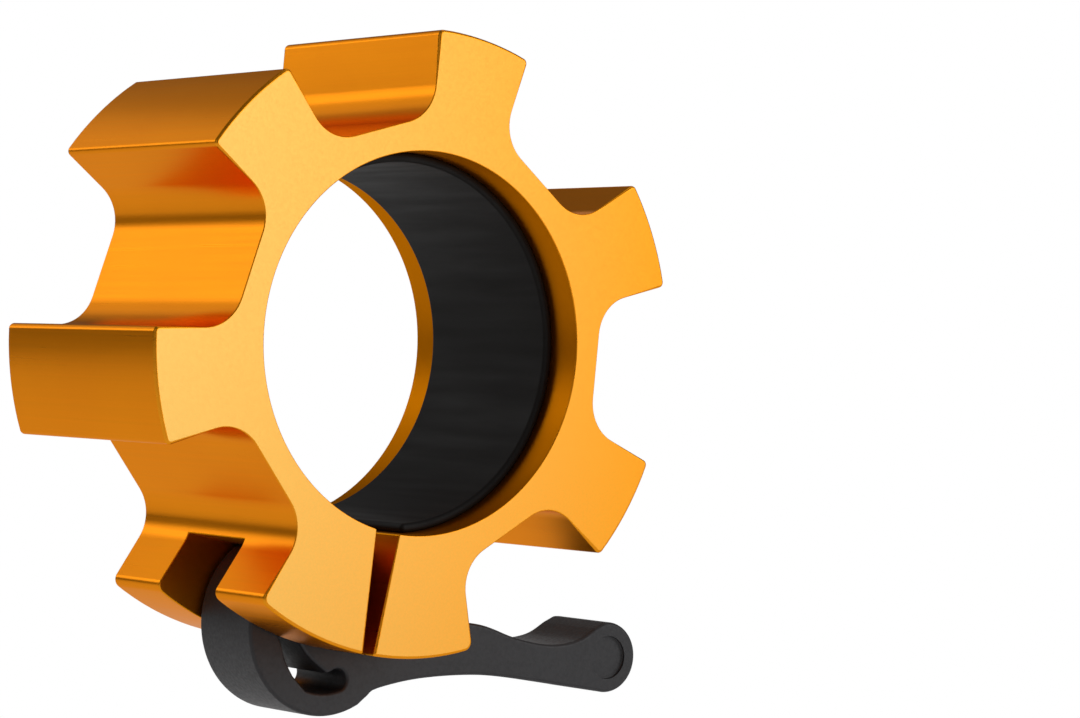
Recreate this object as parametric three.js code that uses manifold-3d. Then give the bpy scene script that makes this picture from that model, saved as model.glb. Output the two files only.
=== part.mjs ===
// A lever collar for a 50 mm barbell sleeve, shown clamped.
// It is a split aluminium ring with five lobes and two slotted ears, a rubber lining in the bore, and a nylon
// lever whose springy arm draws the ears together over two steel pins.
// Millimetres. The bar runs along Y through the origin, the front face looks towards -Y, the split points
// down (-Z), and the handle lies towards +X.

import * as THREE from "three";
import { mergeVertices } from "three/addons/utils/BufferGeometryUtils.js";
import Module from "manifold-3d";

// Ring: an extruded section, sawn through at the bottom.
const RING_LENGTH = 39;
const OUTER_RADIUS = 43.4;
const BORE_RADIUS = 26.45;
const EDGE_BREAK = 0.6;

// Lobes: one on top and two down each side, with flat-floored valleys between them.
const LOBE_PITCH = 55.3;
const LOBE_HALF_ANGLE = 10.5;
const LOBE_FLARE = 8.6;
const LOBE_CORNER = 0.8;
const VALLEY_FLOOR = 30.25;
const VALLEY_FILLET = 6;

// Ears: the two clamping ends beside the split, which is narrower at the rim than at the bore and leans to
// the right there.
const EAR_ANGLE = 24.6;
const EAR_FLARE = 22.9;
const EAR_CORNER = 1.3;
const SPLIT_AT_BORE = 3.9;
const SPLIT_AT_RIM = 1.7;
const SPLIT_LEAN = 0.8;

// Slot through both ears, left by a round cutter and opened out for the arm and the handle.
const SLOT_WIDTH = 14.4;
const SLOT_RADIUS = 13.05;
const SLOT_LEFT_CEILING = -31.1;
const SLOT_RIGHT_CEILING = -36.3;

// Lining: a rubber C bonded to the middle of the bore.
const LINER_LENGTH = 27.8;
const LINER_INNER_RADIUS = 25.1;
const LINER_EDGE = 0.3;
const LINER_GAP = 0.3;
const LINER_END_ANGLE = 15;

// Lever and its arm: one nylon moulding, as thick as the slot allows.
const LEVER_WIDTH = 13;
const LEVER_EDGE = 0.4;
const PIVOT = new THREE.Vector2(-3.7, -37);
const PIVOT_EYE_RADIUS = 3.5;
const KNOB = new THREE.Vector2(52.6, -35.7);
const KNOB_RADIUS = 5.2;
const KNOB_DISH_RADIUS = 3.2;
const KNOB_DISH_DEPTH = 0.5;
const CROTCH = new THREE.Vector2(5.6, -47.2);
const CROTCH_RADIUS = 1.55;
const ARM_CENTRE = new THREE.Vector2(2, -40.1);
const ARM_RADIUS = 12.7;
const ARM_INNER_RADIUS = 9.5;
const ARM_EYE_RADIUS = 3.4;
const ARM_EYE_ANGLE = 66;
const ARM_ROOT_ANGLE = -51;
const CROTCH_ROOT_ANGLE = -42;
const ARM_ROOT_GAP = 0.3;

// Pins: steel, driven in from the back face and blind in the front.
const PIN_RADIUS = 1.25;
const PIN_HOLE_RADIUS = 1.55;
const PIN_TIP = -14.6;
const PIN_HOLE_END = -15;
const PIN_RECESS = 0.4;

const ARC_STEP = 5;
const CUT_PAST = 5;

const wasm = await Module();
wasm.setup();

const radians = THREE.MathUtils.degToRad;
const armEye = ARM_CENTRE.clone().add(polar(ARM_RADIUS - ARM_EYE_RADIUS, ARM_EYE_ANGLE));
const rootOuter = ARM_CENTRE.clone().add(polar(ARM_RADIUS, ARM_ROOT_ANGLE));
const rootInner = CROTCH.clone().add(polar(CROTCH_RADIUS, CROTCH_ROOT_ANGLE));

// A point by radius and angle, with 0 degrees along +X and 90 degrees straight up.
function polar(radius, degrees) {
  return new THREE.Vector2(Math.cos(radians(degrees)), Math.sin(radians(degrees))).multiplyScalar(radius);
}

// Points along an arc from one angle to another, both ends included.
function arc(centre, radius, from, to) {
  const steps = Math.max(2, Math.ceil(Math.abs(to - from) / ARC_STEP));
  return Array.from({ length: steps + 1 }, (_, i) =>
    polar(radius, from + ((to - from) * i) / steps).add(centre),
  );
}

// Points along a smooth curve through the given points.
function curve(pairs, steps) {
  return new THREE.SplineCurve(pairs.map(([x, z]) => new THREE.Vector2(x, z))).getPoints(steps);
}

// Replaces one corner of an outline by a round that touches both of its sides.
function roundCorner(before, corner, after, radius, steps) {
  const to = (p) => p.clone().sub(corner).normalize();
  const [a, b] = [to(before), to(after)];
  const half = Math.acos(THREE.MathUtils.clamp(a.dot(b), -1, 1)) / 2;
  const centre = a.clone().add(b).normalize().multiplyScalar(radius / Math.sin(half)).add(corner);
  const start = a.multiplyScalar(radius / Math.tan(half)).add(corner).sub(centre);
  const end = b.multiplyScalar(radius / Math.tan(half)).add(corner).sub(centre);
  const sweep = Math.atan2(start.cross(end), start.dot(end));
  const origin = new THREE.Vector2();
  return Array.from({ length: steps + 1 }, (_, i) =>
    start.clone().rotateAround(origin, (sweep * i) / steps).add(centre),
  );
}

// Where two lines cross, each given by a point and a direction.
function crossing(p, u, q, v) {
  return u.clone().multiplyScalar(q.clone().sub(p).cross(v) / u.cross(v)).add(p);
}

// A plate with the given outline in the XZ plane, centred on Y, with its edges broken by a chamfer.
function plate(points, width, chamfer) {
  const geometry = new THREE.ExtrudeGeometry(new THREE.Shape(points), {
    depth: width - 2 * chamfer,
    bevelEnabled: chamfer > 0,
    bevelThickness: chamfer,
    bevelSize: chamfer,
    bevelOffset: -chamfer,
    bevelSegments: 1,
  });
  return geometry.translate(0, 0, chamfer - width / 2).rotateX(Math.PI / 2);
}

// A round bar along Y between two stations, with its ends broken by a chamfer.
function bar(centre, radius, from, to, chamfer) {
  const profile = [
    new THREE.Vector2(0, from),
    new THREE.Vector2(radius - chamfer, from),
    new THREE.Vector2(radius, from + chamfer),
    new THREE.Vector2(radius, to - chamfer),
    new THREE.Vector2(radius - chamfer, to),
    new THREE.Vector2(0, to),
  ];
  const unique = profile.filter((p, i) => i === 0 || p.distanceTo(profile[i - 1]) > 0);
  return new THREE.LatheGeometry(unique, 24).translate(centre.x, 0, centre.y);
}

// A three.js geometry as a solid that can be joined and cut.
function solid(geometry) {
  const bare = geometry.clone();
  bare.deleteAttribute("normal");
  bare.deleteAttribute("uv");
  const merged = mergeVertices(bare, 1e-4);
  return new wasm.Manifold(
    new wasm.Mesh({
      numProp: 3,
      vertProperties: merged.attributes.position.array,
      triVerts: new Uint32Array(merged.index.array),
    }),
  );
}

// A cut solid back as a three.js geometry.
function geometryOf(body) {
  const mesh = body.getMesh();
  return new THREE.BufferGeometry()
    .setAttribute("position", new THREE.BufferAttribute(mesh.vertProperties, 3))
    .setIndex(new THREE.BufferAttribute(mesh.triVerts, 1));
}

function part(name, geometry, colour, roughness, metalness) {
  geometry.computeVertexNormals();
  const mesh = new THREE.Mesh(geometry, new THREE.MeshStandardMaterial({ color: colour, roughness, metalness }));
  mesh.name = name;
  return mesh;
}

// The flank of a lobe or ear, from its outer corner inwards. Side is +1 for the counter-clockwise flank.
function flank(axis, halfAngle, flare, side) {
  const corner = polar(OUTER_RADIUS, axis + side * halfAngle);
  return { corner, inward: polar(1, axis + 180 + side * flare) };
}

// The outline of the ring, counter-clockwise from the right ear's end at the split.
function ringOutline() {
  const lobes = [-2, -1, 0, 1, 2].map((k) => ({
    from: flank(90 + k * LOBE_PITCH, LOBE_HALF_ANGLE, LOBE_FLARE, -1),
    to: flank(90 + k * LOBE_PITCH, LOBE_HALF_ANGLE, LOBE_FLARE, 1),
    fromAngle: 90 + k * LOBE_PITCH - LOBE_HALF_ANGLE,
    toAngle: 90 + k * LOBE_PITCH + LOBE_HALF_ANGLE,
    corner: LOBE_CORNER,
  }));
  const splitAngle = (x) => THREE.MathUtils.radToDeg(Math.asin(x / OUTER_RADIUS));
  const rightEar = {
    to: flank(-90, EAR_ANGLE, EAR_FLARE, 1),
    fromAngle: -90 + splitAngle(SPLIT_LEAN + SPLIT_AT_RIM / 2),
    toAngle: -90 + EAR_ANGLE,
    corner: EAR_CORNER,
  };
  const leftEar = {
    from: flank(270, EAR_ANGLE, EAR_FLARE, -1),
    fromAngle: 270 - EAR_ANGLE,
    toAngle: 270 + splitAngle(SPLIT_LEAN - SPLIT_AT_RIM / 2),
    corner: EAR_CORNER,
  };
  const teeth = [rightEar, ...lobes, leftEar];
  const centre = new THREE.Vector2();
  const points = [];
  teeth.forEach((tooth, i) => {
    const rim = arc(centre, OUTER_RADIUS, tooth.fromAngle, tooth.toAngle);
    const valley = (left, right) => {
      const middle = (left.toAngle + right.fromAngle) / 2;
      const floor = polar(VALLEY_FLOOR, middle);
      const along = polar(1, middle + 90);
      return [
        crossing(left.to.corner, left.to.inward, floor, along),
        crossing(right.from.corner, right.from.inward, floor, along),
      ];
    };
    if (tooth.from) {
      const [, foot] = valley(teeth[i - 1], tooth);
      points.push(...roundCorner(foot, tooth.from.corner, rim[1], tooth.corner, 3));
    } else {
      points.push(rim[0]);
    }
    points.push(...rim.slice(1, -1));
    if (tooth.to) {
      const [foot, nextFoot] = valley(tooth, teeth[i + 1]);
      const next = teeth[i + 1].from.corner;
      points.push(...roundCorner(rim.at(-2), tooth.to.corner, foot, tooth.corner, 3));
      points.push(...roundCorner(tooth.to.corner, foot, nextFoot, VALLEY_FILLET, 8));
      points.push(...roundCorner(foot, nextFoot, next, VALLEY_FILLET, 8));
    } else {
      points.push(rim.at(-1));
    }
  });
  const boreSplit = THREE.MathUtils.radToDeg(Math.asin(SPLIT_AT_BORE / 2 / BORE_RADIUS));
  points.push(...arc(centre, BORE_RADIUS, 270 - boreSplit, -90 + boreSplit));
  return points;
}

// The slot through the ears, seen from the front: the cutter's round pocket, open to the left above the arm,
// to the right above the handle, and downwards through the rim.
function earSlot() {
  const past = OUTER_RADIUS + CUT_PAST;
  const box = (left, right, top) =>
    [[left, -past], [right, -past], [right, top], [left, top]].map(([x, z]) => new THREE.Vector2(x, z));
  const pocket = solid(plate(arc(ARM_CENTRE, SLOT_RADIUS, 0, 360 - ARC_STEP), SLOT_WIDTH, 0));
  const left = solid(plate(box(-past / 2, 0, SLOT_LEFT_CEILING), SLOT_WIDTH, 0));
  const right = solid(plate(box(0, past / 2, SLOT_RIGHT_CEILING), SLOT_WIDTH, 0));
  return pocket.add(left).add(right);
}

function collarBody() {
  let ring = solid(plate(ringOutline(), RING_LENGTH, EDGE_BREAK)).subtract(earSlot());
  for (const centre of [PIVOT, armEye]) {
    ring = ring.subtract(solid(bar(centre, PIN_HOLE_RADIUS, PIN_HOLE_END, RING_LENGTH / 2 + CUT_PAST, 0)));
  }
  return part("collar_body", geometryOf(ring), 0xe8940a, 0.36, 0.9);
}

// The lining's ends stop short of the split and are rounded.
function gripLiner() {
  const centre = new THREE.Vector2();
  const outer = BORE_RADIUS - LINER_GAP;
  const endRound = (outer - LINER_INNER_RADIUS) / 2;
  const middle = (outer + LINER_INNER_RADIUS) / 2;
  const [start, end] = [-90 + LINER_END_ANGLE, 270 - LINER_END_ANGLE];
  const points = [
    ...arc(centre, outer, start, end),
    ...arc(polar(middle, end), endRound, end, end + 180).slice(1, -1),
    ...arc(centre, LINER_INNER_RADIUS, end, start),
    ...arc(polar(middle, start), endRound, start + 180, start + 360).slice(1, -1),
  ];
  return part("grip_liner", plate(points, LINER_LENGTH, LINER_EDGE), 0x1b1a1a, 0.62, 0);
}

// Handle, knob, pivot eye and the crotch where the arm leaves the lever.
function lever() {
  const points = [
    ...curve([[rootOuter.x, rootOuter.y], [11.2, -48.6], [12.8, -47.2], [20, -44.5], [30, -42.3], [40, -41.5]], 16),
    ...arc(KNOB, KNOB_RADIUS, -92, 108),
    ...curve([[49.4, -31.9], [46.5, -34.2], [41.8, -35.7], [35.4, -35.9], [27.6, -35.2], [17, -36.9]], 16),
    ...curve([[9, -38.9], [4.4, -38], [0.7, -35.4]], 6),
    ...arc(PIVOT, PIVOT_EYE_RADIUS, 58, 225),
    ...curve([[-3.1, -42.1], [-0.2, -44.7], [3.7, -46.6]], 6),
    ...arc(CROTCH, CROTCH_RADIUS, 140, -10),
    rootInner,
  ];
  let body = solid(plate(points, LEVER_WIDTH, LEVER_EDGE));
  body = body.subtract(solid(bar(PIVOT, PIN_HOLE_RADIUS, -RING_LENGTH / 2, RING_LENGTH / 2, 0)));
  const front = -LEVER_WIDTH / 2;
  body = body.subtract(solid(bar(KNOB, KNOB_DISH_RADIUS, front - CUT_PAST, front + KNOB_DISH_DEPTH, 0)));
  return part("lever", geometryOf(body), 0x232224, 0.5, 0);
}

// The arm leaves the lever at its root, sweeps round the pivot and ends in an eye on the anchor pin.
function springArm() {
  const along = rootOuter.clone().sub(rootInner).normalize();
  const back = new THREE.Vector2(along.y, -along.x).multiplyScalar(ARM_ROOT_GAP);
  const points = [
    rootOuter.clone().add(back),
    ...arc(ARM_CENTRE, ARM_RADIUS, ARM_ROOT_ANGLE - 2 * ARC_STEP, ARM_EYE_ANGLE - 360),
    ...arc(armEye, ARM_EYE_RADIUS, ARM_EYE_ANGLE, ARM_EYE_ANGLE - 220).slice(1),
    ...curve([[-1.2, -30.6], [-4.2, -31.5], [-6.6, -33.6], [-7.7, -36.8], [-7.2, -40], [-4.8, -43.8]], 12),
    ...curve([[-3.6, -45.9], [-1.8, -47.9]], 2),
    ...arc(ARM_CENTRE, ARM_INNER_RADIUS, -98, -72),
    rootInner.clone().add(back),
  ];
  let body = solid(plate(points, LEVER_WIDTH, LEVER_EDGE));
  body = body.subtract(solid(bar(armEye, PIN_HOLE_RADIUS, -RING_LENGTH / 2, RING_LENGTH / 2, 0)));
  return part("spring_arm", geometryOf(body), 0x232224, 0.5, 0);
}

function pin(name, centre) {
  const geometry = bar(centre, PIN_RADIUS, PIN_TIP, RING_LENGTH / 2 - PIN_RECESS, PIN_RADIUS / 5);
  return part(name, geometry, 0x8d8f92, 0.35, 1);
}

const collar = new THREE.Group();
collar.add(collarBody(), gripLiner(), lever(), springArm(), pin("pivot_pin", PIVOT), pin("anchor_pin", armEye));

export default collar;
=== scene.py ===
import math

import bmesh
import bpy
from mathutils import Matrix, Vector


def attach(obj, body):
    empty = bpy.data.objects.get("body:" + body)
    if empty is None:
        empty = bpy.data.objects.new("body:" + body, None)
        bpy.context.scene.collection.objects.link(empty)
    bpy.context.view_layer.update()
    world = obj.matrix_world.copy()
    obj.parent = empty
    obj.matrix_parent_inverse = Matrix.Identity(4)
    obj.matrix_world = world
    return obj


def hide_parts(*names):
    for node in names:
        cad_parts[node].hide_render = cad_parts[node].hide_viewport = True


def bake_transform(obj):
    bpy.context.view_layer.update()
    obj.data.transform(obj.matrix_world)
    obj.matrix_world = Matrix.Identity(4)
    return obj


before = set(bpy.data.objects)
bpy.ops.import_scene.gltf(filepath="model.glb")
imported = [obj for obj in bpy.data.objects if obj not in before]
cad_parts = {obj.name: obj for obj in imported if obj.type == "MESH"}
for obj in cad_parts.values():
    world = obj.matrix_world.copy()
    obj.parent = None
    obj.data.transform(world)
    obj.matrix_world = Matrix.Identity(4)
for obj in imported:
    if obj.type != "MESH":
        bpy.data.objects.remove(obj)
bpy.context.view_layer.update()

# Ring. One length of aluminium extrusion with five lobes and two ears, split at the bottom and anodised
# gold-orange. The end faces are bead-blasted, the bore and the lever's slot are machined, and the rest is as it
# came from the die.
MM = 0.001
RING_LENGTH = 39
OUTER_RADIUS = 43.4
BORE_RADIUS = 26.45
TIP_EDGE = 0.4
VALLEY_EDGE = 0.15
TIP_DEPTH = 3
EDGE_CHANGE = 2
LOBE_PITCH = 55.3
LOBE_HALF_ANGLE = 10.5
LOBE_FLARE = 8.6
LOBE_CORNER = 0.8
VALLEY_FLOOR = 30.25
VALLEY_FILLET = 6
EAR_ANGLE = 24.6
EAR_FLARE = 22.9
EAR_CORNER = 1.3
SPLIT_AT_BORE = 3.9
SPLIT_AT_RIM = 1.7
SPLIT_LEAN = 0.8
SLOT_WIDTH = 14.4
SLOT_RADIUS = 13.05
SLOT_LEFT_CEILING = -31.1
SLOT_RIGHT_CEILING = -36.3
SLOT_EDGE_BREAK = 0.22
SLOT_EDGE_ANGLE = 48
ARM_CENTRE = Vector((2, -40.1))
ARM_RADIUS = 12.7
ARM_EYE_RADIUS = 3.4
ARM_EYE_ANGLE = 66
PIVOT = Vector((-3.7, -37))
PIN_HOLE_RADIUS = 1.3
PIN_HOLE_END = -15
CUT_PAST = 5
CUTTER_EDGE = 0.001


def polar(radius, degrees, centre=Vector((0, 0))):
    """A point by radius and angle in the XZ plane, with 0 degrees along +X."""
    turn = math.radians(degrees)
    return centre + radius * Vector((math.cos(turn), math.sin(turn)))


ANCHOR = polar(ARM_RADIUS - ARM_EYE_RADIUS, ARM_EYE_ANGLE, ARM_CENTRE)


def arc(centre, radius, start, end, step=1.5):
    """Points along an arc, both ends included."""
    steps = max(2, math.ceil(abs(end - start) / step))
    return [polar(radius, start + (end - start) * i / steps, centre) for i in range(steps + 1)]


def round_corner(before, corner, after, radius, step=7):
    """A round in place of one corner of an outline."""
    a = (before - corner).normalized()
    b = (after - corner).normalized()
    half = math.acos(max(-1, min(1, a.dot(b)))) / 2
    centre = corner + (a + b).normalized() * radius / math.sin(half)
    start = corner + a * radius / math.tan(half) - centre
    end = corner + b * radius / math.tan(half) - centre
    sweep = math.atan2(start.x * end.y - start.y * end.x, start.dot(end))
    steps = max(2, math.ceil(abs(math.degrees(sweep)) / step))
    return [centre + Matrix.Rotation(sweep * i / steps, 2) @ start for i in range(steps + 1)]


def crossing(p, u, q, v):
    """Where two lines cross, each given by a point and a direction."""
    apart = q - p
    return p + u * (apart.x * v.y - apart.y * v.x) / (u.x * v.y - u.y * v.x)


def tooth(axis, half_angle, flare, corner, first=None, last=None):
    """One lobe or ear: its rim angles, the lines of its flanks and the radius of its corners."""
    start = axis - half_angle if first is None else first
    end = axis + half_angle if last is None else last
    return {
        "rim": (start, end),
        "corner": corner,
        "from": None if first is not None else (polar(OUTER_RADIUS, start), polar(1, axis + 180 - flare)),
        "to": None if last is not None else (polar(OUTER_RADIUS, end), polar(1, axis + 180 + flare)),
    }


def ring_outline():
    """The extruded section, counter-clockwise from the right ear's end at the split."""
    split_right = math.degrees(math.asin((SPLIT_LEAN + SPLIT_AT_RIM / 2) / OUTER_RADIUS))
    split_left = math.degrees(math.asin((SPLIT_LEAN - SPLIT_AT_RIM / 2) / OUTER_RADIUS))
    teeth = [tooth(-90, EAR_ANGLE, EAR_FLARE, EAR_CORNER, first=-90 + split_right)]
    for k in (-2, -1, 0, 1, 2):
        teeth.append(tooth(90 + k * LOBE_PITCH, LOBE_HALF_ANGLE, LOBE_FLARE, LOBE_CORNER))
    teeth.append(tooth(270, EAR_ANGLE, EAR_FLARE, EAR_CORNER, last=270 + split_left))
    points = []
    for i, this in enumerate(teeth):
        rim = arc(Vector((0, 0)), OUTER_RADIUS, *this["rim"])
        if this["from"]:
            points += round_corner(points[-1], this["from"][0], rim[2], this["corner"])
            rim = rim[2:]
        if this["to"] is None:
            points += rim
            continue
        following = teeth[i + 1]
        middle = (this["rim"][1] + following["rim"][0]) / 2
        floor = (polar(VALLEY_FLOOR, middle), polar(1, middle + 90))
        foot = crossing(*this["to"], *floor)
        next_foot = crossing(*following["from"], *floor)
        points += rim[:-2]
        points += round_corner(rim[-3], this["to"][0], foot, this["corner"])
        points += round_corner(this["to"][0], foot, next_foot, VALLEY_FILLET)
        points += round_corner(foot, next_foot, following["from"][0], VALLEY_FILLET)
    at_bore = math.degrees(math.asin(SPLIT_AT_BORE / 2 / BORE_RADIUS))
    return points + arc(Vector((0, 0)), BORE_RADIUS, 270 - at_bore, -90 + at_bore)


def ring_edge(point):
    """The ring's broken edge: wider at the tips, which a hand meets, than in the valleys and the bore."""
    share = min(1, max(0, (point.length - OUTER_RADIUS + TIP_DEPTH) / EDGE_CHANGE))
    return VALLEY_EDGE + (TIP_EDGE - VALLEY_EDGE) * share


FACES, SIDES, RIMS = 0, 1, 2


def plate_object(name, outline, width, edge, rounds=3, closed=True, middle=0):
    """A plate in the XZ plane with rounded rims. The edge is one radius, or a function that gives it at a
    point. Its faces, sides and rims have a material slot each. An open outline is one half of a moulding, and
    isn't walled off where it meets the other half."""
    count = len(outline)
    area = sum(a.x * b.y - b.x * a.y for a, b in zip(outline, outline[1:] + outline[:1]))
    outline = outline if area > 0 else outline[::-1]
    radii = [edge(p) if callable(edge) else edge for p in outline]
    inward = []
    for i in range(count):
        before = outline[i] - outline[i - 1]
        after = outline[(i + 1) % count] - outline[i]
        a = Vector((-before.y, before.x)).normalized()
        b = Vector((-after.y, after.x)).normalized()
        inward.append((a + b) / (1 + a.dot(b)))
    if not closed:
        root = (outline[-1] - outline[0]).normalized()
        inward[0], inward[-1] = root, -root
    turns = [math.pi / 2 * s / rounds for s in range(rounds + 1)]
    levels = [(-1, turn) for turn in turns] + [(1, turn) for turn in turns[::-1]]
    mesh = bpy.data.meshes.new(name)
    build = bmesh.new()
    rings = []
    for side, turn in levels:
        level = []
        for p, n, radius in zip(outline, inward, radii):
            at = p + n * radius * (1 - math.sin(turn))
            y = middle + side * (width / 2 - radius * (1 - math.cos(turn)))
            level.append(build.verts.new((at.x * MM, y * MM, at.y * MM)))
        rings.append(level)
    build.faces.new(rings[0])
    build.faces.new(rings[-1][::-1])
    for k, (near, far) in enumerate(zip(rings, rings[1:])):
        for i in range(count if closed else count - 1):
            j = (i + 1) % count
            face = build.faces.new((near[i], far[i], far[j], near[j]))
            face.material_index = SIDES if k == rounds else RIMS
    for face in build.faces:
        face.smooth = True
    build.to_mesh(mesh)
    build.free()
    piece = bpy.data.objects.new(name, mesh)
    bpy.context.scene.collection.objects.link(piece)
    return piece


def settle(piece):
    """Applies the modifiers, so that the mesh is final."""
    graph = bpy.context.evaluated_depsgraph_get()
    done = bpy.data.meshes.new_from_object(piece.evaluated_get(graph), depsgraph=graph)
    piece.modifiers.clear()
    piece.data = done
    return piece


def even_shading(piece, sharp_angle=40):
    """Keeps the large faces flat to the eye and the rims round."""
    piece.data.set_sharp_from_angle(angle=math.radians(sharp_angle))
    weighted = piece.modifiers.new("weighted_normals", "WEIGHTED_NORMAL")
    weighted.keep_sharp = True
    return settle(piece)


def cut(piece, cutter):
    """Takes the cutter's space out of the piece."""
    taken = piece.modifiers.new("cut", "BOOLEAN")
    taken.operation = "DIFFERENCE"
    taken.solver = "EXACT"
    taken.object = cutter
    settle(piece)
    bpy.data.objects.remove(cutter)
    return piece


def linear(hex_colour):
    """An sRGB hex colour as linear red, green, blue and alpha."""
    parts = [int(hex_colour[i:i + 2], 16) / 255 for i in (1, 3, 5)]
    return (*[p / 12.92 if p <= 0.04045 else ((p + 0.055) / 1.055) ** 2.4 for p in parts], 1)


def add(tree, kind, settings=None, links=None):
    """Adds a node, sets its values by name and links its inputs."""
    made = tree.nodes.new(kind)
    for name, value in (settings or {}).items():
        if isinstance(name, str) and hasattr(made, name):
            setattr(made, name, value)
        else:
            made.inputs[name].default_value = value
    for name, source in (links or {}).items():
        tree.links.new(source, made.inputs[name])
    return made


def material(name, colour, metallic, roughness, **constants):
    """A material with its shader's plain values set, and its node tree to add patterns to."""
    made = bpy.data.materials.new(name)
    made.use_nodes = True
    made.diffuse_color = linear(colour)
    shader = made.node_tree.nodes["Principled BSDF"]
    shader.inputs["Base Color"].default_value = linear(colour)
    shader.inputs["Metallic"].default_value = metallic
    shader.inputs["Roughness"].default_value = roughness
    for key, value in constants.items():
        shader.inputs[key.replace("_", " ")].default_value = value
    return made, made.node_tree, shader


# Anodised aluminium, bead-blasted: the beads leave overlapping dimples about 0.2 mm wide, which spread the
# light into an even satin glow with a faint sparkle. They are drawn at 0.35 mm, as finer ones don't show. The
# base colour is pale gold where a face is seen straight on and deeper orange at a slant. This is partly the
# dyed film, which light runs through further at a slant, and partly a painted sheen that pales the faces seen
# face-on.
BLAST_DIMPLE = 0.35
FILM_AT_A_SLANT = linear("#ffdaa0")
NOISE_LOW = 0.3
NOISE_HIGH = 0.7
# Facing is 1 less the cosine of the slant: 0.13 at 30 degrees and 0.24 at 40.
PALE_UP_TO = 0.13
ORANGE_FROM = 0.24
blasted, tree, shader = material("bead_blasted_anodised_aluminium", "#fdbb48", 1.0, 0.46,
                                 Specular_Tint=FILM_AT_A_SLANT, Coat_Weight=0.1, Coat_Roughness=0.4)
place = add(tree, "ShaderNodeTexCoord")
grain = add(tree, "ShaderNodeTexNoise", {"Scale": 1 / (BLAST_DIMPLE * MM), "Detail": 3, "Roughness": 0.6},
            {"Vector": place.outputs["Object"]})
# Painted sheen: the base colour turns from pale gold seen face-on to deeper orange seen at a slant.
slant = add(tree, "ShaderNodeLayerWeight", {"Blend": 0.5})
painted_slant_sheen = add(tree, "ShaderNodeMapRange", {"From Min": PALE_UP_TO, "From Max": ORANGE_FROM},
            {"Value": slant.outputs["Facing"]})
tint = add(tree, "ShaderNodeMix", {"data_type": "RGBA", 6: linear("#fed070"), 7: linear("#fba008")},
           {0: painted_slant_sheen.outputs[0]})
speckle = add(tree, "ShaderNodeMapRange",
              {"From Min": NOISE_LOW, "From Max": NOISE_HIGH, "To Min": 0.95, "To Max": 1.02},
              {"Value": grain.outputs["Fac"]})
dyed = add(tree, "ShaderNodeMix", {"data_type": "RGBA", "blend_type": "MULTIPLY", 0: 1.0},
           {6: tint.outputs[2], 7: speckle.outputs[0]})
satin = add(tree, "ShaderNodeMapRange",
            {"From Min": NOISE_LOW, "From Max": NOISE_HIGH, "To Min": 0.42, "To Max": 0.52},
            {"Value": grain.outputs["Fac"]})
dimples = add(tree, "ShaderNodeBump", {"Strength": 0.3, "Distance": 0.02 * MM},
              {"Height": grain.outputs["Fac"]})
tree.links.new(dyed.outputs[2], shader.inputs["Base Color"])
tree.links.new(satin.outputs[0], shader.inputs["Roughness"])
tree.links.new(dimples.outputs[0], shader.inputs["Normal"])

# Anodised aluminium, as extruded: the die draws fine lines along the bar. They are drawn about 0.5 mm apart and
# 60 mm long, and give the flanks a deep orange with a soft sheen across the lines. The dye takes a little
# unevenly, in patches of about 18 mm.
DIE_LINE = 0.5
DIE_LINE_LENGTH = 60
DYE_PATCH = 18
extruded, tree, shader = material("extruded_anodised_aluminium", "#f9910d", 1.0, 0.3,
                                  Specular_Tint=FILM_AT_A_SLANT, Coat_Weight=0.1, Coat_Roughness=0.25)
place = add(tree, "ShaderNodeTexCoord")
along_bar = add(tree, "ShaderNodeMapping",
                {"Scale": (1 / (DIE_LINE * MM), 1 / (DIE_LINE_LENGTH * MM), 1 / (DIE_LINE * MM))},
                {"Vector": place.outputs["Object"]})
lines = add(tree, "ShaderNodeTexNoise", {"Scale": 1, "Detail": 4, "Roughness": 0.65},
            {"Vector": along_bar.outputs[0]})
patches = add(tree, "ShaderNodeTexNoise", {"Scale": 1 / (DYE_PATCH * MM), "Detail": 2},
              {"Vector": place.outputs["Object"]})
tint = add(tree, "ShaderNodeMix", {"data_type": "RGBA", 6: linear("#f58d0a"), 7: linear("#fd970f")},
           {0: patches.outputs["Fac"]})
streaks = add(tree, "ShaderNodeMapRange",
              {"From Min": NOISE_LOW, "From Max": NOISE_HIGH, "To Min": 0.97, "To Max": 1.02},
              {"Value": lines.outputs["Fac"]})
dyed = add(tree, "ShaderNodeMix", {"data_type": "RGBA", "blend_type": "MULTIPLY", 0: 1.0},
           {6: tint.outputs[2], 7: streaks.outputs[0]})
sheen = add(tree, "ShaderNodeMapRange",
            {"From Min": NOISE_LOW, "From Max": NOISE_HIGH, "To Min": 0.27, "To Max": 0.33},
            {"Value": lines.outputs["Fac"]})
drawn = add(tree, "ShaderNodeBump", {"Strength": 0.07, "Distance": 0.02 * MM},
            {"Height": lines.outputs["Fac"]})
tree.links.new(dyed.outputs[2], shader.inputs["Base Color"])
tree.links.new(sheen.outputs[0], shader.inputs["Roughness"])
tree.links.new(drawn.outputs[0], shader.inputs["Normal"])

# Anodised aluminium, tumbled edge: the broken edges are smoother than the faces, so they mirror their
# surroundings as thin light and dark lines, dulled here and there by nicks of about 0.8 mm.
NICK = 0.8
tumbled, tree, shader = material("tumbled_anodised_aluminium_edge", "#f59a1e", 1.0, 0.28,
                                 Specular_Tint=FILM_AT_A_SLANT)
place = add(tree, "ShaderNodeTexCoord")
nicks = add(tree, "ShaderNodeTexNoise", {"Scale": 1 / (NICK * MM), "Detail": 3},
            {"Vector": place.outputs["Object"]})
worn = add(tree, "ShaderNodeMapRange",
           {"From Min": NOISE_LOW, "From Max": NOISE_HIGH, "To Min": 0.24, "To Max": 0.36},
           {"Value": nicks.outputs["Fac"]})
tree.links.new(worn.outputs[0], shader.inputs["Roughness"])

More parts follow.
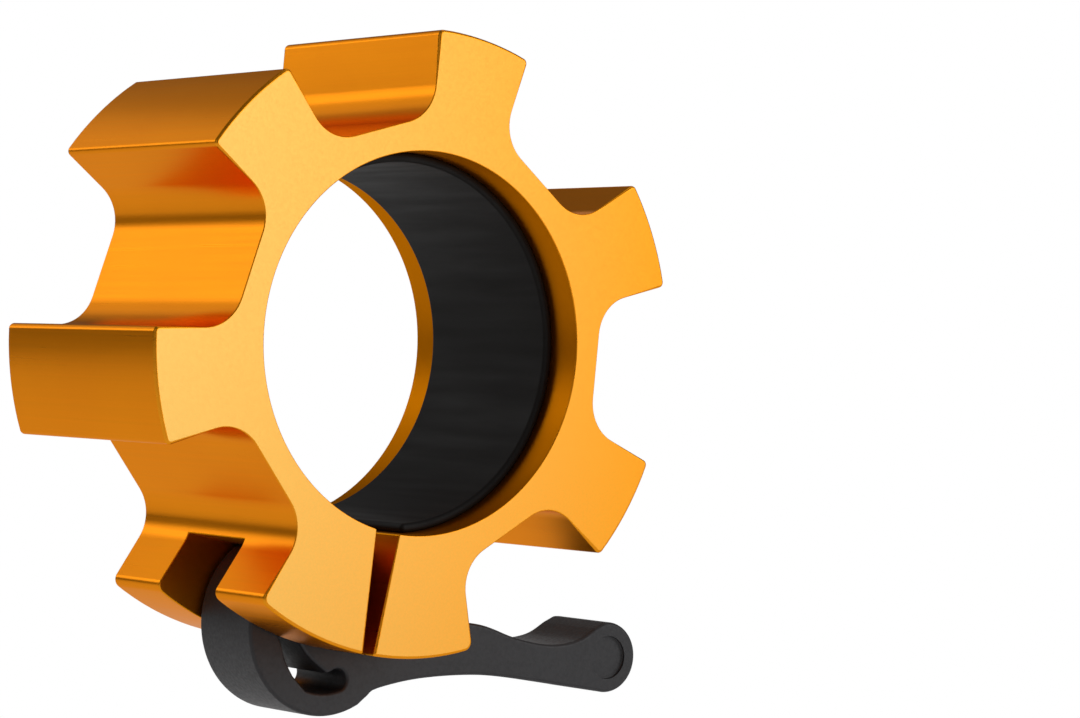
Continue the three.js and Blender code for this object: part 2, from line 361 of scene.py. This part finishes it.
# Anodised aluminium, milled: the slot's cutter leaves fine scallops across the walls, 0.19 mm apart. A wave
# texture at scale 1 repeats every pi / 10.
WAVE_REPEAT = math.pi / 10
CUTTER_STEP = 0.6 * WAVE_REPEAT
milled, tree, shader = material("milled_anodised_aluminium", "#ea8c12", 1.0, 0.38,
                                Specular_Tint=FILM_AT_A_SLANT)
place = add(tree, "ShaderNodeTexCoord")
scallops = add(tree, "ShaderNodeTexWave",
               {"wave_type": "RINGS", "rings_direction": "Y", "Scale": WAVE_REPEAT / (CUTTER_STEP * MM),
                "Distortion": 1.5, "Detail": 2},
               {"Vector": place.outputs["Object"]})
turned = add(tree, "ShaderNodeBump", {"Strength": 0.2, "Distance": 0.015 * MM},
             {"Height": scallops.outputs["Fac"]})
tree.links.new(turned.outputs[0], shader.inputs["Normal"])

# Anodised aluminium, bored: the boring tool leaves fine grooves, 0.25 mm apart, that dull the light along the
# bar. The bore is coloured darker than the flanks.
BORING_FEED = 0.8 * WAVE_REPEAT
bored, tree, shader = material("bored_anodised_aluminium", "#ce790d", 1.0, 0.42,
                               Specular_Tint=FILM_AT_A_SLANT)
place = add(tree, "ShaderNodeTexCoord")
spiral = add(tree, "ShaderNodeTexWave",
             {"bands_direction": "Y", "Scale": WAVE_REPEAT / (BORING_FEED * MM), "Distortion": 0.6,
              "Detail": 1},
             {"Vector": place.outputs["Object"]})
dull = add(tree, "ShaderNodeMapRange", {"To Min": 0.36, "To Max": 0.48}, {"Value": spiral.outputs["Fac"]})
grooves = add(tree, "ShaderNodeBump", {"Strength": 0.15, "Distance": 0.01 * MM},
              {"Height": spiral.outputs["Fac"]})
tree.links.new(dull.outputs[0], shader.inputs["Roughness"])
tree.links.new(grooves.outputs[0], shader.inputs["Normal"])

RING_FINISHES = (blasted, extruded, tumbled, milled, bored)
BORE_TOLERANCE = 0.1
ring = plate_object("ring", ring_outline(), RING_LENGTH, ring_edge)
for finish in RING_FINISHES:
    ring.data.materials.append(finish)
for face in ring.data.polygons:
    from_axis = Vector((face.center.x, face.center.z)).length
    if face.material_index == SIDES and from_axis < (BORE_RADIUS + BORE_TOLERANCE) * MM:
        face.material_index = RING_FINISHES.index(bored)


def slot_outline():
    """The slot through both ears: the cutter's round pocket, opened to the left, to the right and downwards."""
    past = OUTER_RADIUS + CUT_PAST
    low = math.degrees(math.asin((SLOT_RIGHT_CEILING - ARM_CENTRE.y) / SLOT_RADIUS))
    high = 180 - math.degrees(math.asin((SLOT_LEFT_CEILING - ARM_CENTRE.y) / SLOT_RADIUS))
    sides = [Vector((-past / 2, -past)), Vector((past / 2, -past)), Vector((past / 2, SLOT_RIGHT_CEILING))]
    return sides + arc(ARM_CENTRE, SLOT_RADIUS, low, high) + [Vector((-past / 2, SLOT_LEFT_CEILING))]


hole_length = RING_LENGTH / 2 + CUT_PAST - PIN_HOLE_END
hole_middle = PIN_HOLE_END + hole_length / 2
cutters = [plate_object("slot_cutter", slot_outline(), SLOT_WIDTH, CUTTER_EDGE, rounds=1)]
for centre in (PIVOT, ANCHOR):
    hole = arc(centre, PIN_HOLE_RADIUS, 0, 350, 10)
    cutters.append(plate_object("pin_hole_cutter", hole, hole_length, CUTTER_EDGE, rounds=1,
                                middle=hole_middle))
for cutter in cutters:
    for finish in RING_FINISHES:
        cutter.data.materials.append(finish)
    for face in cutter.data.polygons:
        face.material_index = RING_FINISHES.index(milled)
        face.use_smooth = True
    cut(ring, cutter)
broken = ring.modifiers.new("slot_edges", "BEVEL")
broken.width = SLOT_EDGE_BREAK * MM
broken.segments = 2
broken.limit_method = "ANGLE"
broken.angle_limit = math.radians(SLOT_EDGE_ANGLE)
broken.use_clamp_overlap = False
broken.material = RING_FINISHES.index(tumbled)
settle(ring)
even_shading(ring)
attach(ring, "collar")
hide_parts("collar_body")

# Lining. A moulded strip of black rubber, bent into a C and bonded to the middle of the bore, with rounded ends
# that stop short of the split.
LINER_LENGTH = 27.8
LINER_INNER_RADIUS = 25.1
BOND_LINE = 0.02
LINER_OUTER_RADIUS = BORE_RADIUS - BOND_LINE
LINER_EDGE = 0.6
LINER_END_ANGLE = 15

# Rubber, moulded: dull black with a broad soft sheen, a fine even grain, drawn at 0.4 mm, and faint smears
# along the bar where a sleeve has slid through.
RUBBER_GRAIN = 0.4
SMEAR_WIDTH = 2.5
SMEAR_LENGTH = 30
rubber, tree, shader = material("moulded_rubber", "#191716", 0.0, 0.66, Specular_IOR_Level=0.28)
place = add(tree, "ShaderNodeTexCoord")
grain = add(tree, "ShaderNodeTexNoise", {"Scale": 1 / (RUBBER_GRAIN * MM), "Detail": 3},
            {"Vector": place.outputs["Object"]})
smear_space = add(tree, "ShaderNodeMapping",
                  {"Scale": (1 / (SMEAR_WIDTH * MM), 1 / (SMEAR_LENGTH * MM), 1 / (SMEAR_WIDTH * MM))},
                  {"Vector": place.outputs["Object"]})
smears = add(tree, "ShaderNodeTexNoise", {"Scale": 1, "Detail": 4}, {"Vector": smear_space.outputs[0]})
rubbed = add(tree, "ShaderNodeMapRange", {"From Min": 0.35, "From Max": 0.7, "To Min": 0.6, "To Max": 0.72},
             {"Value": smears.outputs["Fac"]})
shade = add(tree, "ShaderNodeMix", {"data_type": "RGBA", 6: linear("#151413"), 7: linear("#1d1b1a")},
            {0: smears.outputs["Fac"]})
skin = add(tree, "ShaderNodeBump", {"Strength": 0.3, "Distance": 0.02 * MM}, {"Height": grain.outputs["Fac"]})
tree.links.new(shade.outputs[2], shader.inputs["Base Color"])
tree.links.new(rubbed.outputs[0], shader.inputs["Roughness"])
tree.links.new(skin.outputs[0], shader.inputs["Normal"])

start, end = -90 + LINER_END_ANGLE, 270 - LINER_END_ANGLE
half_thickness = (LINER_OUTER_RADIUS - LINER_INNER_RADIUS) / 2
middle_radius = (LINER_OUTER_RADIUS + LINER_INNER_RADIUS) / 2
liner_outline = arc(Vector((0, 0)), LINER_OUTER_RADIUS, start, end)
liner_outline += arc(polar(middle_radius, end), half_thickness, end, end + 180, 15)[1:-1]
liner_outline += arc(Vector((0, 0)), LINER_INNER_RADIUS, end, start)
liner_outline += arc(polar(middle_radius, start), half_thickness, start + 180, start + 360, 15)[1:-1]
lining = plate_object("lining", liner_outline, LINER_LENGTH, LINER_EDGE)
lining.data.materials.append(rubber)
for face in lining.data.polygons:
    face.material_index = FACES
even_shading(lining)
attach(lining, "collar")
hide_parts("grip_liner")

# Lever and spring arm. One moulding in glass-filled nylon: a slim handle with a round knob, a nose that turns
# on the pivot pin, and a C-shaped arm round to the anchor pin. The real arm bends as the lever opens. Here it
# is a piece of its own that meets the lever at its root without a seam.
LEVER_WIDTH = 13
LEVER_EDGE = 0.5
PIVOT_EYE_RADIUS = 3.5
KNOB = Vector((52.6, -35.7))
KNOB_RADIUS = 5.2
KNOB_DISH_RADIUS = 3.2
KNOB_DISH_DEPTH = 0.45
CROTCH = Vector((5.6, -47.2))
CROTCH_RADIUS = 1.55
CROTCH_ROOT_ANGLE = -42
ARM_INNER_RADIUS = 9.5
ARM_ROOT_ANGLE = -51


def curve(points, step=0.7):
    """Points along a smooth curve through the given points, about a step apart."""
    points = [Vector(p) for p in points]
    padded = [points[0], *points, points[-1]]
    made = []
    for a, b, c, d in zip(padded, padded[1:], padded[2:], padded[3:]):
        steps = max(2, math.ceil((c - b).length / step))
        for i in range(steps):
            t = i / steps
            made.append(0.5 * (2 * b + (c - a) * t + (2 * a - 5 * b + 4 * c - d) * t ** 2
                               + (3 * b - a - 3 * c + d) * t ** 3))
    return made + [points[-1]]


# Nylon, moulded: near-black with the fine spark-eroded grain of the mould, which keeps it matte. The grain is
# drawn at 0.45 mm, and the plastic's flow shades it a little over about 9 mm.
NYLON_GRAIN = 0.45
FLOW_MARK = 9
nylon, tree, shader = material("moulded_nylon", "#232225", 0.0, 0.5)
place = add(tree, "ShaderNodeTexCoord")
grain = add(tree, "ShaderNodeTexNoise", {"Scale": 1 / (NYLON_GRAIN * MM), "Detail": 2, "Roughness": 0.5},
            {"Vector": place.outputs["Object"]})
flow = add(tree, "ShaderNodeTexNoise", {"Scale": 1 / (FLOW_MARK * MM), "Detail": 3},
           {"Vector": place.outputs["Object"]})
shade = add(tree, "ShaderNodeMix", {"data_type": "RGBA", 6: linear("#1f1e21"), 7: linear("#2a292c")},
            {0: flow.outputs["Fac"]})
matte = add(tree, "ShaderNodeMapRange",
            {"From Min": NOISE_LOW, "From Max": NOISE_HIGH, "To Min": 0.44, "To Max": 0.58},
            {"Value": grain.outputs["Fac"]})
texture = add(tree, "ShaderNodeBump", {"Strength": 0.35, "Distance": 0.03 * MM},
              {"Height": grain.outputs["Fac"]})
tree.links.new(shade.outputs[2], shader.inputs["Base Color"])
tree.links.new(matte.outputs[0], shader.inputs["Roughness"])
tree.links.new(texture.outputs[0], shader.inputs["Normal"])

root_outer = polar(ARM_RADIUS, ARM_ROOT_ANGLE, ARM_CENTRE)
lever_outline = curve([root_outer, (11.2, -48.6), (12.8, -47.2), (20, -44.5), (30, -42.3), (40, -41.5)])
lever_outline += arc(KNOB, KNOB_RADIUS, -92, 108, 4)
lever_outline += curve([(49.4, -31.9), (46.5, -34.2), (41.8, -35.7), (35.4, -35.9), (27.6, -35.2), (17, -36.9),
                        (9, -38.9), (4.4, -38), (0.7, -35.4)])
lever_outline += arc(PIVOT, PIVOT_EYE_RADIUS, 58, 225, 5)
lever_outline += curve([(-3.1, -42.1), (-0.2, -44.7), (3.7, -46.6)])
lever_outline += arc(CROTCH, CROTCH_RADIUS, 140, CROTCH_ROOT_ANGLE, 8)
lever = plate_object("lever_moulding", lever_outline, LEVER_WIDTH, LEVER_EDGE, closed=False)
dish = arc(KNOB, KNOB_DISH_RADIUS, 0, 354, 6)
cut(lever, plate_object("dish_cutter", dish, 2 * KNOB_DISH_DEPTH, KNOB_DISH_DEPTH / 2, middle=-LEVER_WIDTH / 2))
lever.data.materials.clear()
lever.data.materials.append(nylon)
for face in lever.data.polygons:
    face.material_index = FACES
even_shading(lever)
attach(lever, "lever")
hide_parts("lever")

arm_outline = arc(ARM_CENTRE, ARM_RADIUS, ARM_ROOT_ANGLE, ARM_EYE_ANGLE - 360, 2)
arm_outline += arc(ANCHOR, ARM_EYE_RADIUS, ARM_EYE_ANGLE, ARM_EYE_ANGLE - 220, 5)[1:]
arm_outline += curve([(-1.2, -30.6), (-4.2, -31.5), (-6.6, -33.6), (-7.7, -36.8), (-7.2, -40), (-4.8, -43.8),
                      (-3.6, -45.9), (-1.8, -47.9)])
arm_outline += arc(ARM_CENTRE, ARM_INNER_RADIUS, -98, -63, 2)
arm_outline += arc(CROTCH, CROTCH_RADIUS, -63, CROTCH_ROOT_ANGLE, 7)[1:]
arm = plate_object("spring_arm_moulding", arm_outline, LEVER_WIDTH, LEVER_EDGE, closed=False)
arm.data.materials.append(nylon)
for face in arm.data.polygons:
    face.material_index = FACES
even_shading(arm)
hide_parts("spring_arm")
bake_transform(arm)

# Pins. Ground steel rod, pressed in from the back face, with a chamfer at the blind end and a slight dome at
# the open one. The lever turns on one pin and the arm's eye hangs on the other.
PIN_RADIUS = 1.25
PIN_TIP = -14.6
PIN_RECESS = 0.4
PIN_DOME = 0.35
DOME_FULLNESS = 0.4
DOME_STEPS = 4
PIN_SIDES = 32

# Steel, ground: grey and bright, with fine marks from the wheel, drawn at 0.3 mm.
WHEEL_MARK = 0.3
steel, tree, shader = material("ground_steel", "#b4b5b7", 1.0, 0.28)
place = add(tree, "ShaderNodeTexCoord")
marks = add(tree, "ShaderNodeTexNoise", {"Scale": 1 / (WHEEL_MARK * MM), "Detail": 2},
            {"Vector": place.outputs["Object"]})
ground = add(tree, "ShaderNodeMapRange",
             {"From Min": NOISE_LOW, "From Max": NOISE_HIGH, "To Min": 0.22, "To Max": 0.36},
             {"Value": marks.outputs["Fac"]})
tree.links.new(ground.outputs[0], shader.inputs["Roughness"])

for name, centre in (("pivot_pin", PIVOT), ("anchor_pin", ANCHOR)):
    profile = [(PIN_RADIUS - PIN_DOME, PIN_TIP), (PIN_RADIUS, PIN_TIP + PIN_DOME)]
    back = RING_LENGTH / 2 - PIN_RECESS
    for s in range(DOME_STEPS):
        turn = math.pi / 2 * s / DOME_STEPS
        profile.append((PIN_RADIUS * math.cos(turn) ** DOME_FULLNESS, back - PIN_DOME * (1 - math.sin(turn))))
    mesh = bpy.data.meshes.new(name + "_rod")
    build = bmesh.new()
    levels = [
        [build.verts.new(((centre.x + r * math.cos(a)) * MM, y * MM, (centre.y + r * math.sin(a)) * MM))
         for a in [math.tau * i / PIN_SIDES for i in range(PIN_SIDES)]]
        for r, y in profile
    ]
    build.faces.new(levels[0])
    build.faces.new(levels[-1][::-1])
    for near, far in zip(levels, levels[1:]):
        for i in range(PIN_SIDES):
            j = (i + 1) % PIN_SIDES
            build.faces.new((near[i], far[i], far[j], near[j]))
    for face in build.faces:
        face.smooth = True
    build.to_mesh(mesh)
    build.free()
    rod = bpy.data.objects.new(name + "_rod", mesh)
    bpy.context.scene.collection.objects.link(rod)
    rod.data.materials.append(steel)
    even_shading(rod)
    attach(rod, "collar")
    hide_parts(name)

# Studio. A white paper floor keeps a soft shadow and fades into a white backdrop. It slopes with the line from
# the arm's heel to the knob, low enough for the opened lever. The room is dim, with a large soft lamp at the
# front right, a narrower one low behind on the left, and weak ones above and around.
LEVER_OPENING = 35
FLOOR_CLEARANCE = 1
FLOOR_RADIUS = 1500
FLOOR_SIDES = 90
SHADOW_RADIUS = 70
SHADOW_FADE = 2.2
PAPER_NEAR = 0.45
PAPER_LIT = 0.9
PAPER_SEEN = 2.6
GLEAM_NEAR = 0.56
GLEAM_FAR = 0.44
GLEAM_FROM = 120
GLEAM_TO = 500
ROOM_LIGHT = 0.14

floor_white = bpy.data.materials.new("white_paper_floor")
floor_white.use_nodes = True
tree = floor_white.node_tree
tree.nodes.clear()
place = add(tree, "ShaderNodeTexCoord")
distance = add(tree, "ShaderNodeVectorMath", {"operation": "LENGTH"}, {0: place.outputs["Object"]})
fade = add(tree, "ShaderNodeMapRange",
           {"From Min": SHADOW_RADIUS * MM, "From Max": SHADOW_FADE * SHADOW_RADIUS * MM, "To Min": PAPER_NEAR,
            "interpolation_type": "SMOOTHSTEP"},
           {"Value": distance.outputs["Value"]})
# The room is too dim to show paper white, so the camera sees the paper brighter than the collar does, and the
# metal mirrors it at about half of white.
ray = add(tree, "ShaderNodeLightPath")
seen = add(tree, "ShaderNodeMath", {"operation": "MULTIPLY"},
           {0: fade.outputs[0], 1: ray.outputs["Is Camera Ray"]})
lit = add(tree, "ShaderNodeMapRange",
          {"From Min": GLEAM_FROM * MM, "From Max": GLEAM_TO * MM, "To Min": GLEAM_NEAR, "To Max": GLEAM_FAR},
          {"Value": distance.outputs["Value"]})
gleam = add(tree, "ShaderNodeMath", {"operation": "MULTIPLY"},
            {0: lit.outputs[0], 1: ray.outputs["Is Glossy Ray"]})
share = add(tree, "ShaderNodeMath", {"operation": "MAXIMUM"}, {0: seen.outputs[0], 1: gleam.outputs[0]})
bright = add(tree, "ShaderNodeMapRange", {"To Min": PAPER_LIT, "To Max": PAPER_SEEN},
             {"Value": ray.outputs["Is Camera Ray"]})
paper = add(tree, "ShaderNodeBsdfDiffuse", None, {"Color": bright.outputs[0]})
white = add(tree, "ShaderNodeEmission", {"Color": (1, 1, 1, 1), "Strength": 1.0})
mixed = add(tree, "ShaderNodeMixShader", None,
            {0: share.outputs[0], 1: paper.outputs[0], 2: white.outputs[0]})
add(tree, "ShaderNodeOutputMaterial", None, {"Surface": mixed.outputs[0]})

mesh = bpy.data.meshes.new("floor")
build = bmesh.new()
rim = [polar(FLOOR_RADIUS * MM, 360 * i / FLOOR_SIDES) for i in range(FLOOR_SIDES)]
build.faces.new([build.verts.new(point.to_3d()) for point in rim])
build.to_mesh(mesh)
build.free()
floor = bpy.data.objects.new("floor", mesh)
between = KNOB - ARM_CENTRE
lean = math.atan2(between.y, between.x) + math.asin((ARM_RADIUS - KNOB_RADIUS) / between.length)
upright = polar(1, 90 + math.degrees(lean))
opened_knob = PIVOT + Matrix.Rotation(math.radians(-LEVER_OPENING), 2) @ (KNOB - PIVOT)
foot = upright * (opened_knob.dot(upright) - KNOB_RADIUS - FLOOR_CLEARANCE)
floor.location = (foot.x * MM, 0, foot.y * MM)
floor.rotation_euler = (0, -lean, 0)
floor.data.materials.append(floor_white)
bpy.context.scene.collection.objects.link(floor)

world = bpy.data.worlds.new("studio")
bpy.context.scene.world = world
world.use_nodes = True
tree = world.node_tree
tree.nodes.clear()
# The camera sees the backdrop white. The metal mirrors the dim room instead, for the sake of its dark bands.
ray = add(tree, "ShaderNodeLightPath")
seen = add(tree, "ShaderNodeMath", {"operation": "MAXIMUM"},
           {0: ray.outputs["Is Camera Ray"], 1: ray.outputs["Is Transmission Ray"]})
strength = add(tree, "ShaderNodeMapRange", {"To Min": ROOM_LIGHT, "To Max": 1.0}, {"Value": seen.outputs[0]})
backdrop = add(tree, "ShaderNodeBackground", {"Color": (1, 1, 1, 1)}, {"Strength": strength.outputs[0]})
add(tree, "ShaderNodeOutputWorld", None, {"Surface": backdrop.outputs[0]})

LAMPS = (
    # name, where it stands, width and height, all in metres, and power in watts
    ("front_right_softbox", (0.7, -1.0, 0.45), (1.3, 0.9), 6.4),
    ("back_left_softbox", (-0.48, 1.04, 0.37), (0.8, 0.72), 0.85),
    ("back_left_core", (-0.66, 0.98, 0.26), (0.36, 0.34), 0.5),
    ("back_top_strip", (-0.2, 1.1, 0.66), (0.8, 0.4), 0.22),
    ("front_left_softbox", (-1.15, -0.6, 0.3), (0.8, 0.8), 0.8),
    ("back_right_softbox", (0.9, 0.85, 0.55), (0.9, 0.8), 1.0),
    ("top_softbox", (0.15, -0.1, 1.3), (1.0, 1.0), 1.6),
)
for name, where, size, power in LAMPS:
    lamp = bpy.data.lights.new(name, "AREA")
    lamp.shape = "RECTANGLE"
    lamp.size, lamp.size_y = size
    lamp.energy = power
    stand = bpy.data.objects.new(name, lamp)
    stand.location = where
    stand.rotation_euler = (-Vector(where)).to_track_quat("-Z", "Y").to_euler()
    bpy.context.scene.collection.objects.link(stand)

# Camera. It stands to the front left, a little below the collar's middle, and leans as the photograph does,
# because the collar rests on the arm's heel and the knob.
CAMERA_PLACE = (-269.49, -402.23, -57.57)
CAMERA_RIGHT = Vector((0.76881, -0.61085, 0.18923))
CAMERA_UP = Vector((-0.22558, 0.01784, 0.97406))
LENS = 114.24
SENSOR_WIDTH = 36
NEAREST = 10
lens = bpy.data.cameras.new("camera")
lens.lens = LENS
lens.sensor_width = SENSOR_WIDTH
lens.sensor_fit = "HORIZONTAL"
lens.clip_start = NEAREST * MM
camera = bpy.data.objects.new("camera", lens)
back = CAMERA_RIGHT.cross(CAMERA_UP).normalized()
turn = Matrix((CAMERA_RIGHT, CAMERA_UP, back)).transposed()
camera.matrix_world = Matrix.Translation(Vector(CAMERA_PLACE) * MM) @ turn.to_4x4()
bpy.context.scene.collection.objects.link(camera)
bpy.context.scene.camera = camera
bpy.context.scene.view_settings.view_transform = "Standard"
